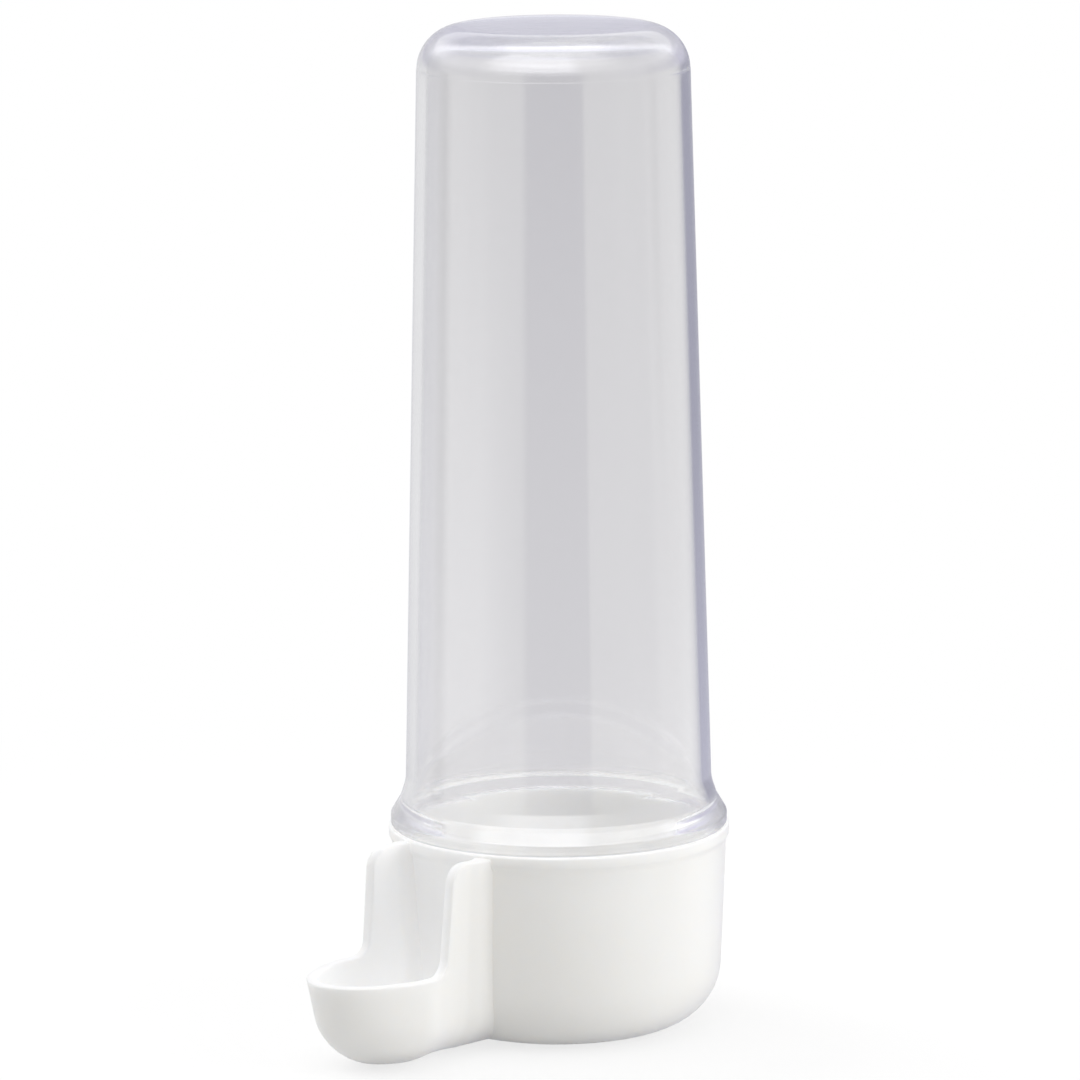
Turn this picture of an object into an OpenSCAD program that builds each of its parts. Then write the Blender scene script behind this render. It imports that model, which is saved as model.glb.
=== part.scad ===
// Siphon drinker for cage birds: a clear tube of water that plugs, mouth down, into a white base
// whose spout reaches between the cage bars. Millimetres, +Z up. The origin is on the tube's axis,
// in the middle of the base's flat underside, and the spout points along -Y.

/* [Base cup] */
// Height of the cup's rim above its underside
cup_h = 34.4; // [28:0.1:45]
// Outer diameter of the cup's wall, measured at the rim
cup_d = 56.9; // [48:0.1:70]
// Thickness of the cup's wall and floor
cup_wall = 1.8; // [1.4:0.1:2.6]
// Slope of the cup's wall, narrower towards the floor
cup_draft = 2.5; // [1:0.1:4]
// Radius of the round edge between wall and floor, outside
bilge_r = 10.7; // [6:0.1:12]
// How far the rim's lip stands out from the wall
lip_out = 0.4; // [0.2:0.05:0.8]
// Height of the rim's lip
lip_h = 2.7; // [1.6:0.1:4]

/* [Reservoir tube] */
// Height of the tube's flat top above the rim that it sits on
tube_h = 135.6; // [90:0.1:200]
// Step from the cup's outer wall in to the tube's wall, where the flare has run out
tube_step = 2.55; // [2:0.05:4]
// Slope of the tube's wall, narrower towards the top
tube_draft = 1.45; // [0.5:0.05:3]
// Thickness of the tube's wall
tube_wall = 1.6; // [1.2:0.1:2.2]
// Thickness of the tube's closed top
top_wall = 2.4; // [1.2:0.1:3.2]
// Radius of the shoulder round the flat top, outside
shoulder_r = 7.3; // [4:0.1:14]
// Step in at the mould's parting line, where the shoulder starts
parting_step = 0.2; // [0.1:0.05:0.5]
// Step from the edge of the cup's lip in to the edge of the flange that rests on it
flange_step = 0.35; // [0:0.05:0.8]
// Height of the flange's upright edge
flange_t = 1.9; // [1.2:0.1:3]
// Height of the crease half way up the flange's flare
crease_h = 4.7; // [3.6:0.1:6]
// How far the crease stands out from the tube's wall
crease_out = 0.85; // [0.4:0.05:1.4]
// Height at which the flare has run out into the wall
flare_h = 7.6; // [6.4:0.1:10]
// Length of the plug below the flange
plug_l = 10; // [6:0.1:15]
// Thickness of the plug's wall
plug_wall = 1.25; // [1:0.05:1.6]
// Height of the bell inside the flange, up to which the bore is as wide as the plug's
bell_h = 4.2; // [2:0.1:4.6]
// Gap between the plug and the cup's wall, on the radius
fit_gap = 0.06; // [0.02:0.01:0.1]

/* [Spout] */
// Outer width of the spout where it leaves the cup
root_w = 19.9; // [17:0.1:24]
// Outer width of the spout's neck, which goes between the cage bars
neck_w = 19.1; // [16:0.1:23]
// Outer width of the drinking trough's widest place, at its rim
trough_w = 23.4; // [19:0.1:28]
// Thickness of the spout's walls and floor
spout_wall = 2; // [1.5:0.1:2.6]
// Length of the spout's wider root, from the cup's rim
root_l = 0.3; // [0:0.05:2]
// Length over which the root narrows to the neck
root_blend_l = 2.7; // [1:0.05:5]
// Distance from the cup's rim at which the neck starts to widen into the trough
neck_l = 4.55; // [3:0.05:8]
// Distance of the trough's widest place from the cup's rim
trough_l = 14.05; // [10:0.05:20]
// Distance of the cheeks' front edges from the cup's rim, where they meet the trough's rim
cheek_l = 8.35; // [6:0.05:12]
// Distance of the trough's tip from the cup's rim
tip_l = 27.75; // [23:0.05:36]
// Drop from the cup's rim to the cheeks' tops
cheek_drop = 0.5; // [0.2:0.1:6]
// Height of the trough's rim
rim_h = 15.8; // [13:0.1:20]
// Backward lean of the cheeks' front edges
cheek_lean = 5.5; // [0:0.5:12]
// Radius of the cheeks' top front corners
cheek_corner_r = 3.5; // [1:0.1:6]
// Radius where a cheek's front edge runs out into the trough's rim
cheek_foot_r = 3; // [1:0.1:7]
// Radius of the round edge under the spout, outside
spout_bilge_r = 8.2; // [5:0.1:8.2]
// Gap under the spout when the cup stands on its foot
spout_lift = 0.5; // [0.2:0.1:2]
// Slope of the spout's sides, narrower towards the floor
side_draft = 2.5; // [1:0.1:4]
// Rake of the trough's bow, drawn back towards the floor
bow_rake = 15.5; // [4:0.5:18]
// Radius of the upright corners between the cheeks and the cup
corner_r = 6; // [1:0.1:7]

/* [Water port] */
// Width of the port from the cup to the trough
port_w = 7; // [5:0.1:9]
// Step from the trough's floor up to the port's sill
port_step = 0.5; // [0.3:0.1:2]
// Drop from the trough's rim to the port's top, which keeps the water below that rim
port_drop = 4.4; // [3:0.1:6]
// Radius of the port's corners
port_corner_r = 3.4; // [0.5:0.1:3.4]

/* [Hidden] */
$fn = 96;

// Steps of a rounded corner, of half the trough's bow, of a side of the spout and of the round below it
corner_steps = 8;
bow_steps = 12;
side_steps = 6;
bilge_steps = 7;
// Small rounding of moulded edges
edge_r = 0.5;
// Rounding where the bell inside the flange turns in to the bore
bell_r = 3;
// How far a cutting shape runs past what it cuts
past = 2;
// Least half width of the flat strip under the spout
keel_half = 0.6;
// Largest share of its edge's room that a rounded corner takes, and of a level's half width
edge_share = 0.98;
corner_share = 0.9;

// The cup's wall outside and inside, and the plug that fits it, as radii at the height z
function cup_r(z) = cup_d / 2 - (cup_h - z) * tan(cup_draft);
function socket_r(z) = cup_r(z) - cup_wall;
function plug_r(z) = socket_r(z) - fit_gap;

// The tube's heights in the base's frame, and its wall outside and inside as radii at the height z
seat_z = cup_h;
top_z = seat_z + tube_h;
parting_z = top_z - shoulder_r;
plug_z = seat_z - plug_l;
bell_z = seat_z + bell_h;
crease_z = seat_z + crease_h;
flare_z = seat_z + flare_h;
function tube_r(z) = cup_d / 2 - tube_step - (z - flare_z) * tan(tube_draft);
function bore_r(z) = tube_r(z) - tube_wall;
lip_r = cup_d / 2 + lip_out;
flange_r = lip_r - flange_step;

// The spout's driving places, as distances from the axis along -Y, and the heights of its cheeks
root_end = cup_d / 2 + root_l;
neck_reach = cup_d / 2 + neck_l;
trough_reach = cup_d / 2 + trough_l;
cheek_reach = cup_d / 2 + cheek_l;
tip_reach = cup_d / 2 + tip_l;
bow_l = tip_reach - cheek_reach;
spout_rear = cup_r(0) - bilge_r;
back_reach = socket_r(0);
cheek_h = cup_h - cheek_drop;

// The spout's narrowest width, and the round under the spout, limited by the floor that it leaves
slim_w = min(root_w, neck_w);
under_r = min(spout_bilge_r, slim_w / 2 - rim_h * tan(side_draft) - keel_half);

// A rounded outline from corners written as [x, y, radius]. A corner has the room of a whole edge
// beside a sharp corner, and of half an edge beside a rounded one.
function unit(v) = v / norm(v);
function polar(r, a) = r * [cos(a), sin(a)];
function bend(a) = a > 180 ? a - 360 : a < -180 ? a + 360 : a;
function arc(c, r, from, turn) = [for (i = [0:corner_steps]) c + polar(r, from + turn * i / corner_steps)];
function flat(c) = [c[0], c[1]];
function room(q, p) = edge_share * norm(flat(p) - flat(q)) / (p[2] == 0 ? 1 : 2);
function fillet(p, q, s) =
    let (u = unit(flat(p) - flat(q)), v = unit(flat(s) - flat(q)), half = acos(u * v) / 2)
    let (r = min(q[2], min(room(q, p), room(q, s)) * tan(half)))
    let (c = flat(q) + unit(u + v) * r / sin(half))
    let (a = flat(q) + u * r / tan(half) - c, b = flat(q) + v * r / tan(half) - c)
    let (from = atan2(a[1], a[0]), to = atan2(b[1], b[0]))
    arc(c, r, from, bend(to - from));
function rounded(corners) =
    let (n = len(corners))
    [for (i = [0:n - 1])
        let (before = corners[(i + n - 1) % n], here = corners[i], after = corners[(i + 1) % n])
        each here[2] == 0 ? [flat(here)] : fillet(before, here, after)];

// The cup's half section: foot, round edge, drafted wall, lip, then the socket and floor inside
cup_section = [
    [0, 0, 0],
    [cup_r(0), 0, bilge_r],
    [cup_r(cup_h - lip_h), cup_h - lip_h, edge_r],
    [lip_r, cup_h - lip_h + lip_out, edge_r],
    [lip_r, cup_h, edge_r / 2],
    [socket_r(cup_h), cup_h, 0],
    [socket_r(cup_wall), cup_wall, bilge_r - cup_wall],
    [0, cup_wall, 0]
];

// The half section of a core that ends half way through the cup's wall, to trim the spout by
core_section = [
    [0, cup_wall / 2, 0],
    [cup_r(cup_wall / 2) - cup_wall / 2, cup_wall / 2, bilge_r - cup_wall / 2],
    [cup_r(cup_h + past) - cup_wall / 2, cup_h + past, 0],
    [0, cup_h + past, 0]
];

// The tube's half section: plug, flange with its two-step flare, wall, shoulder, then the bore and the
// bell at its mouth
tube_section = [
    [plug_r(plug_z) - plug_wall, plug_z, edge_r],
    [plug_r(plug_z), plug_z, edge_r],
    [plug_r(seat_z), seat_z, 0],
    [flange_r, seat_z, edge_r],
    [flange_r, seat_z + flange_t, 2 * edge_r],
    [tube_r(crease_z) + crease_out, crease_z, 0],
    [tube_r(flare_z), flare_z, flare_h],
    [tube_r(parting_z), parting_z, 0],
    [tube_r(parting_z) - parting_step, parting_z, 0],
    [tube_r(top_z) - parting_step, top_z, shoulder_r],
    [0, top_z, 0],
    [0, top_z - top_wall, 0],
    [bore_r(top_z - top_wall), top_z - top_wall, shoulder_r - top_wall],
    [bore_r(flare_z), flare_z, flare_h],
    [plug_r(bell_z) - plug_wall, bell_z, bell_r]
];

// The air over the trough and in front of the cheeks, as a side outline of reach and height
cheek_top_reach = cheek_reach - (cheek_h - rim_h) * tan(cheek_lean);
air_reach = tip_reach + (cheek_h + past - rim_h) * tan(bow_rake) + past;
air_section = [
    [0, cheek_h, 0],
    [cheek_top_reach, cheek_h, cheek_corner_r],
    [cheek_reach, rim_h, cheek_foot_r],
    [air_reach, rim_h, 0],
    [air_reach, cheek_h + 2 * past, 0],
    [0, cheek_h + 2 * past, 0]
];

// The spout's half width at the reach a: root, then neck, then trough, eased one into the next
function ease(t) = let (c = min(1, max(0, t))) c * c * (3 - 2 * c);
function side_w(a) =
    neck_w / 2
    + (root_w - neck_w) / 2 * ease((root_end + root_blend_l - a) / root_blend_l)
    + (trough_w - neck_w) / 2 * ease((a - neck_reach) / (trough_reach - neck_reach));

// One level of the spout, right half first. The sides are drawn in by side_in and the bow by bow_in.
// The rear is at the reach rear, with corners of the radius round_r, limited by the narrowest width.
function rear_half(rear, round_r, side_in) =
    round_r == 0
        ? [[side_w(rear) - side_in, rear]]
        : [for (i = [0:corner_steps])
            let (t = 90 * i / corner_steps)
            [side_w(rear + round_r) - side_in - round_r * (1 - sin(t)), rear + round_r * (1 - cos(t))]];
function side_half(from, side_in) =
    [for (i = [1:side_steps - 1])
        let (a = from + (cheek_reach - from) * i / side_steps)
        [side_w(a) - side_in, a]];
function bow_half(side_in, bow_in) =
    [for (i = [0:bow_steps])
        let (t = 90 * i / bow_steps, a = cheek_reach + (bow_l - bow_in) * sin(t))
        [(side_w(a) - side_in) * cos(t), a]];
function level(rear, round_r, side_in, bow_in, z) =
    let (r = min(round_r, corner_share * (slim_w / 2 - side_in)))
    let (half = concat(rear_half(rear, r, side_in), side_half(rear + r, side_in), bow_half(side_in, bow_in)))
    let (n = len(half))
    concat(
        [for (p = half) [p[0], -p[1], z]],
        [for (i = [n - 2:-1:0]) [-half[i][0], -half[i][1], z]]);

// The levels of the spout's outside, or of its hollow when skin is the wall's thickness: a round
// bottom, then sides that widen with the draft and a bow that leans out with the rake. A row of the
// round is a height and how far the level there is drawn in.
function round_rows(low, r) =
    [for (i = [0:bilge_steps])
        let (t = 90 * i / bilge_steps)
        [low + r * (1 - cos(t)), r * (1 - sin(t))]];
function spout_levels(skin, rear, round_r, top) =
    let (rows = concat(round_rows(spout_lift + skin, under_r - skin), [[top, 0]]))
    [for (row = rows)
        let (drop = rim_h - row[0], inset = skin + row[1])
        level(
            rear + (skin > 0 ? row[1] : 0),
            round_r,
            inset + drop * tan(side_draft),
            inset + drop * tan(bow_rake),
            row[0])];

// A closed skin over a stack of levels. Each level is its own mirror image, so the caps are strips
// between point i and its mirror image.
module loft(levels) {
    n = len(levels[0]);
    last = len(levels) - 1;
    half = (n - 1) / 2;
    function at(k, i) = k * n + i % n;
    walls = [for (k = [0:last - 1], i = [0:n - 1])
        each [[at(k, i), at(k, i + 1), at(k + 1, i + 1)], [at(k, i), at(k + 1, i + 1), at(k + 1, i)]]];
    floor_cap = [for (i = [0:half - 1])
        each i == half - 1
            ? [[at(0, i), at(0, i + 2), at(0, i + 1)]]
            : [[at(0, i), at(0, n - 1 - i), at(0, i + 1)],
               [at(0, i + 1), at(0, n - 1 - i), at(0, n - 2 - i)]]];
    top_cap = [for (i = [0:half - 1])
        each i == half - 1
            ? [[at(last, i), at(last, i + 1), at(last, i + 2)]]
            : [[at(last, i), at(last, i + 1), at(last, n - 1 - i)],
               [at(last, i + 1), at(last, n - 2 - i), at(last, n - 1 - i)]]];
    polyhedron(points = [for (l = levels) each l], faces = concat(walls, floor_cap, top_cap));
}

// The drinking spout: an open trough with a round bow, and two cheeks up to the cup's rim
module spout() {
    difference() {
        loft(spout_levels(0, spout_rear, 0, cheek_h + past));
        loft(spout_levels(spout_wall, back_reach, corner_r, cheek_h + 2 * past));
        rotate([90, 0, -90])
            linear_extrude(height = 2 * max(trough_w, root_w), center = true)
                polygon(rounded(air_section));
        rotate_extrude()
            polygon(rounded(core_section));
    }
}

// The port at the cup's floor, a slot with round corners from the well to the trough
module water_port() {
    sill_h = spout_lift + spout_wall + port_step;
    top_h = rim_h - port_drop;
    slot = [
        [-port_w / 2, sill_h, port_corner_r],
        [port_w / 2, sill_h, port_corner_r],
        [port_w / 2, top_h, port_corner_r],
        [-port_w / 2, top_h, port_corner_r]
    ];
    translate([0, -spout_rear, 0])
        rotate([90, 0, 0])
            linear_extrude(height = cheek_reach - spout_rear)
                polygon(rounded(slot));
}

// The white base: a round cup that takes the tube's plug, moulded in one with the spout
module spout_base() {
    color("whitesmoke")
        difference() {
            union() {
                rotate_extrude()
                    polygon(rounded(cup_section));
                spout();
            }
            water_port();
        }
}

// The clear tube, closed at its top, with the flange and plug that seat it in the base
module reservoir_tube() {
    color("lavender", 0.45)
        rotate_extrude()
            polygon(rounded(tube_section));
}

spout_base();
reservoir_tube();
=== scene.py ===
"""Looks of a siphon drinker for cage birds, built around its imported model.

Shapes are worked out in millimetres and become metres when a mesh is made. +Z is up, the tube's axis is the
line X = Y = 0, and the spout points along -Y, so a reach is a distance from that axis along -Y.
"""

import logging
import math
from collections.abc import Sequence
from dataclasses import dataclass, field
from enum import Enum
from typing import Any

import bmesh
import bpy
import numpy as np
from mathutils import Matrix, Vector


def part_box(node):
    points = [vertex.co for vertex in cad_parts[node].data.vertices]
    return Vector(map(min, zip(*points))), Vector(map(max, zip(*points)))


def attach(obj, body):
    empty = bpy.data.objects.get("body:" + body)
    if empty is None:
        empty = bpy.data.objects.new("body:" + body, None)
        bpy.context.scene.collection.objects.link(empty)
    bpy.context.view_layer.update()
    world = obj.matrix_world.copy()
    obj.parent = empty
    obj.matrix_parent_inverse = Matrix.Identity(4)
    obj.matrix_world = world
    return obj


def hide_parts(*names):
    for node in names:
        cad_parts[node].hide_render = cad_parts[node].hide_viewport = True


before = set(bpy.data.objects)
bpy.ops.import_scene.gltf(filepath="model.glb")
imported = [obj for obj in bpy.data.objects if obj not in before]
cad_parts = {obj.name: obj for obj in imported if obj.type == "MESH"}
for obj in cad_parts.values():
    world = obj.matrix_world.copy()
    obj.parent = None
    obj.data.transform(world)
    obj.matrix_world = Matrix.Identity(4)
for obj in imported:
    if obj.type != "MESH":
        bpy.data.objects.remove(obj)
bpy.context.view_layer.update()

MM = 0.001
WELD_MM = 1e-4
SHARP_DEG = 36.0
# Painted light: a point attribute that whitens the insides of the spout and the cup, to brighten these
# hollows.
PAINTED_LIGHT_MARK = "painted_light_mark"
WHITE = "#FFFFFF"
UP = np.array([0.0, 0.0, 1.0])

# A mix node's two colour sockets and its colour output go by number: its other types share their names.
COLOUR_A = 6
COLOUR_B = 7
COLOUR_OUT = 2

log = logging.getLogger("bird_waterer")

Array = np.ndarray
Corner = tuple[float, float, float]
Source = bpy.types.Node | bpy.types.NodeSocket


class Body(Enum):
    """The bodies of the frame that a piece can ride on."""

    BASE = "base"
    TUBE = "tube"


class Slot(Enum):
    """The record's material slots."""

    WHITE = "white_plastic"
    CLEAR = "clear_plastic"


def linear(code: str) -> tuple[float, float, float, float]:
    """Turn an sRGB colour into linear light, by the formula of the sRGB standard.

    Args:
        code: the colour as a hash sign and six hex digits.

    Returns:
        Red, green and blue in linear light, and an alpha of 1.
    """
    srgb = np.array([int(code[i:i + 2], 16) for i in (1, 3, 5)]) / 255.0
    light = np.where(srgb <= 0.04045, srgb / 12.92, ((srgb + 0.055) / 1.055) ** 2.4)
    return (*light.tolist(), 1.0)


def add_node(
    tree: bpy.types.NodeTree,
    kind: str,
    values: dict[Any, Any] | None = None,
    links: dict[Any, Source] | None = None,
    **settings: Any,
) -> bpy.types.Node:
    """Add a node with its settings, the values of its sockets and the links into them.

    Args:
        tree: the tree that gets the node.
        kind: the node's type name, after the words that all shader nodes' names start with.
        values: socket name or number, and the value it takes.
        links: socket name or number, and the output that feeds it, or a node for that node's first output.
        settings: properties of the node itself.

    Returns:
        The new node.
    """
    node = tree.nodes.new("ShaderNode" + kind)
    for name, value in settings.items():
        setattr(node, name, value)
    for key, value in (values or {}).items():
        node.inputs[key].default_value = value
    for key, source in (links or {}).items():
        output = source.outputs[0] if isinstance(source, bpy.types.Node) else source
        tree.links.new(output, node.inputs[key])
    return node


def span(side: str, pair: Sequence[float], unit: float = 1.0) -> dict[str, float]:
    """Give the values of a map range's two From or To sockets, as a pair of numbers times a unit."""
    return {f"{side} Min": pair[0] * unit, f"{side} Max": pair[1] * unit}


def empty_material(name: str) -> bpy.types.Material:
    """Make a material whose node tree holds nothing yet.

    Args:
        name: the material's name.

    Returns:
        The material.
    """
    material = bpy.data.materials.new(name)
    material.use_nodes = True
    material.node_tree.nodes.clear()
    return material


def rounded_path(corners: list[Corner], steps: int) -> Array:
    """Round the corners of an outline by arcs.

    An arc of the radius r touches both edges at r / tan(half the corner's angle) from the corner, and its
    centre lies on the angle's bisector at r / sin(half the angle).

    Args:
        corners: each corner as x, y and the radius that rounds it, where 0 keeps it sharp.
        steps: parts of each arc.

    Returns:
        The outline's points, one row each.
    """
    flat = np.array([c[:2] for c in corners])
    points: list[Array] = []
    for before, here, after, corner in zip(np.roll(flat, 1, 0), flat, np.roll(flat, -1, 0), corners):
        radius = corner[2]
        if radius == 0:
            points.append(here[None])
            continue
        u = (before - here) / np.linalg.norm(before - here)
        v = (after - here) / np.linalg.norm(after - here)
        half = math.acos(float(u @ v)) / 2
        centre = here + (u + v) / np.linalg.norm(u + v) * radius / math.sin(half)
        start, end = (here + w * radius / math.tan(half) - centre for w in (u, v))
        turn = math.atan2(start[0] * end[1] - start[1] * end[0], float(start @ end))
        angle = math.atan2(start[1], start[0]) + turn * np.linspace(0, 1, steps + 1)
        points.append(centre + radius * np.column_stack([np.cos(angle), np.sin(angle)]))
    return np.vstack(points)


def divided(points: Array, longest: float) -> Array:
    """Divide an outline's long edges, so that no part is longer than a given length.

    Args:
        points: the outline's points, one row each.
        longest: the longest part that stays.

    Returns:
        The outline with points added along its edges.
    """
    length = np.linalg.norm(np.diff(points, axis=0), axis=1)
    parts = np.maximum(1, np.ceil(length / longest)).astype(int)
    place = np.repeat(np.arange(len(parts)), parts)
    share = (np.arange(parts.sum()) - np.repeat(np.cumsum(parts) - parts, parts)) / parts[place]
    inner = points[place] + share[:, None] * (points[place + 1] - points[place])
    return np.vstack([inner, points[-1:]])


def grid_faces(rows: int, columns: int, around: bool) -> Array:
    """Index the quads of a grid whose points are stored row by row.

    Args:
        rows: number of rows.
        columns: number of columns.
        around: whether the last column joins the first one.

    Returns:
        Four point numbers for each quad.
    """
    across = columns if around else columns - 1
    i, j = np.meshgrid(np.arange(rows - 1), np.arange(across), indexing="ij")
    k = (j + 1) % columns
    low, high = i * columns, (i + 1) * columns
    return np.stack([low + j, low + k, high + k, high + j], -1).reshape(-1, 4)


def revolved(profile: Array, segments: int) -> tuple[Array, Array]:
    """Turn a half section about Z: x = r cos t, y = r sin t, with the height kept.

    Args:
        profile: the section's points as radius and height.
        segments: parts of a full turn.

    Returns:
        The grid's points and its quads.
    """
    t = 2 * np.pi * np.arange(segments) / segments
    r, z = profile[:, :1], profile[:, 1:]
    points = np.stack([r * np.cos(t), r * np.sin(t), z + 0 * t], -1)
    return points.reshape(-1, 3), grid_faces(len(profile), segments, True)


def extruded(outline: Array, start: float, end: float) -> tuple[Array, Array]:
    """Carry a closed convex outline in X and Z along Y, and close both ends by a fan round their middle.

    Each ring has the outline's x and z, or its middle's, at one end's y.

    Args:
        outline: the outline's points as x and z.
        start: the first end's y.
        end: the other end's y.

    Returns:
        The grid's points and its quads: middle, ring, ring, middle.
    """
    middle = np.broadcast_to(outline.mean(0), outline.shape)
    rings = [(middle, start), (outline, start), (outline, end), (middle, end)]
    points = np.vstack([np.insert(ring, 1, y, axis=1) for ring, y in rings])
    return points, grid_faces(len(rings), len(outline), True)


def solid(name: str, points: Array, faces: Array) -> bpy.types.Object:
    """Make an object at the origin from a closed surface, with doubles merged and normals outward.

    Args:
        name: the object's name.
        points: places in millimetres.
        faces: four point numbers for each quad.

    Returns:
        The object, linked into the scene.
    """
    mesh = bpy.data.meshes.new(name)
    mesh.from_pydata((points * MM).tolist(), [], faces.tolist())
    shape = bmesh.new()
    shape.from_mesh(mesh)
    bmesh.ops.remove_doubles(shape, verts=shape.verts, dist=WELD_MM * MM)
    bmesh.ops.dissolve_degenerate(shape, edges=shape.edges, dist=WELD_MM * MM)
    bmesh.ops.recalc_face_normals(shape, faces=shape.faces)
    shape.to_mesh(mesh)
    shape.free()
    piece = bpy.data.objects.new(name, mesh)
    bpy.context.scene.collection.objects.link(piece)
    return piece


class Join(Enum):
    """How one solid is combined with another."""

    ADD = "UNION"
    CUT = "DIFFERENCE"


def combine(piece: bpy.types.Object, tool: bpy.types.Object, how: Join) -> None:
    """Add a solid to a piece or cut it out, and remove the solid.

    Args:
        piece: the object that is changed.
        tool: the solid that is used up.
        how: add or cut.
    """
    modifier = piece.modifiers.new("combine", "BOOLEAN")
    modifier.object = tool
    modifier.operation = how.value
    modifier.solver = "EXACT"
    shown = piece.evaluated_get(bpy.context.evaluated_depsgraph_get())
    mesh = bpy.data.meshes.new_from_object(shown)
    piece.modifiers.clear()
    old, piece.data = piece.data, mesh
    mesh.name = piece.name
    bpy.data.meshes.remove(old)
    bpy.data.objects.remove(tool)


def coordinates(piece: bpy.types.Object) -> Array:
    """Read the places of a piece's points.

    Args:
        piece: a mesh object at the origin.

    Returns:
        The places in metres, one row each.
    """
    places = np.empty(3 * len(piece.data.vertices), np.float32)
    piece.data.vertices.foreach_get("co", places)
    return places.reshape(-1, 3)


def smooth(piece: bpy.types.Object) -> None:
    """Shade a piece smooth, with edges over the sharp angle kept as creases."""
    piece.data.shade_smooth()
    piece.data.set_sharp_from_angle(angle=math.radians(SHARP_DEG))


@dataclass(frozen=True)
class Grain:
    """A noise that varies a finish: the real size of its features, and the finer detail in them."""

    size_mm: float
    detail: float
    roughness: float

    def values(self) -> dict[str, float]:
        """Give the values of a noise node's sockets."""
        return {"Scale": 1 / (self.size_mm * MM), "Detail": self.detail, "Roughness": self.roughness}


@dataclass(frozen=True)
class WhiteMouldedPolystyrene:
    """Opaque white polystyrene from a smooth mould.

    It gives the eye a warm white with a soft, broad gloss, a trace of cream where the melt flowed last, and
    a faint peel in the highlights. It is painted whiter inside the spout and the cup, as painted light that
    brightens these hollows.
    """

    name: str = "white_polystyrene_moulded"
    body: str = "#F5F5F4"
    cream: str = "#F2F1EE"
    # Painted light: the whiter tone that brightens the spout's and the cup's insides.
    painted_light_white: str = "#FDFDFD"
    ior: float = 1.55
    roughness: tuple[float, float] = (0.30, 0.40)
    depth_share: float = 1.0
    depth_mm: float = 2.0
    depth_rgb: tuple[float, float, float] = (1.0, 0.97, 0.93)
    flow: Grain = Grain(22.0, 2.0, 0.5)
    rub: Grain = Grain(5.0, 5.0, 0.6)
    rub_span: tuple[float, float] = (0.3, 0.7)
    peel: Grain = Grain(0.9, 1.0, 0.4)
    peel_height_mm: float = 0.004

    def material(self) -> bpy.types.Material:
        """Build the finish's nodes.

        Returns:
            The material.
        """
        material = empty_material(self.name)
        tree = material.node_tree
        place = add_node(tree, "TexCoord").outputs["Object"]
        flow = add_node(tree, "TexNoise", self.flow.values(), {"Vector": place})
        tone = add_node(
            tree, "Mix", {COLOUR_A: linear(self.body), COLOUR_B: linear(self.cream)}, {0: flow},
            data_type="RGBA")
        # Painted light: the attribute mixes in the whiter tone inside the spout and the cup.
        core = add_node(tree, "Attribute", attribute_name=PAINTED_LIGHT_MARK)
        white = add_node(
            tree, "Mix", {COLOUR_B: linear(self.painted_light_white)},
            {0: core.outputs["Fac"], COLOUR_A: tone.outputs[COLOUR_OUT]}, data_type="RGBA")
        rub = add_node(tree, "TexNoise", self.rub.values(), {"Vector": place})
        gloss = add_node(
            tree, "MapRange", {**span("From", self.rub_span), **span("To", self.roughness)}, {"Value": rub})
        peel = add_node(tree, "TexNoise", self.peel.values(), {"Vector": place})
        bump = add_node(
            tree, "Bump", {"Strength": 1.0, "Distance": self.peel_height_mm * MM}, {"Height": peel})
        surface = add_node(
            tree, "BsdfPrincipled",
            {"IOR": self.ior, "Subsurface Weight": self.depth_share, "Subsurface Scale": self.depth_mm * MM,
             "Subsurface Radius": self.depth_rgb},
            {"Base Color": white.outputs[COLOUR_OUT], "Roughness": gloss, "Normal": bump})
        add_node(tree, "OutputMaterial", links={"Surface": surface})
        return material


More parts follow.
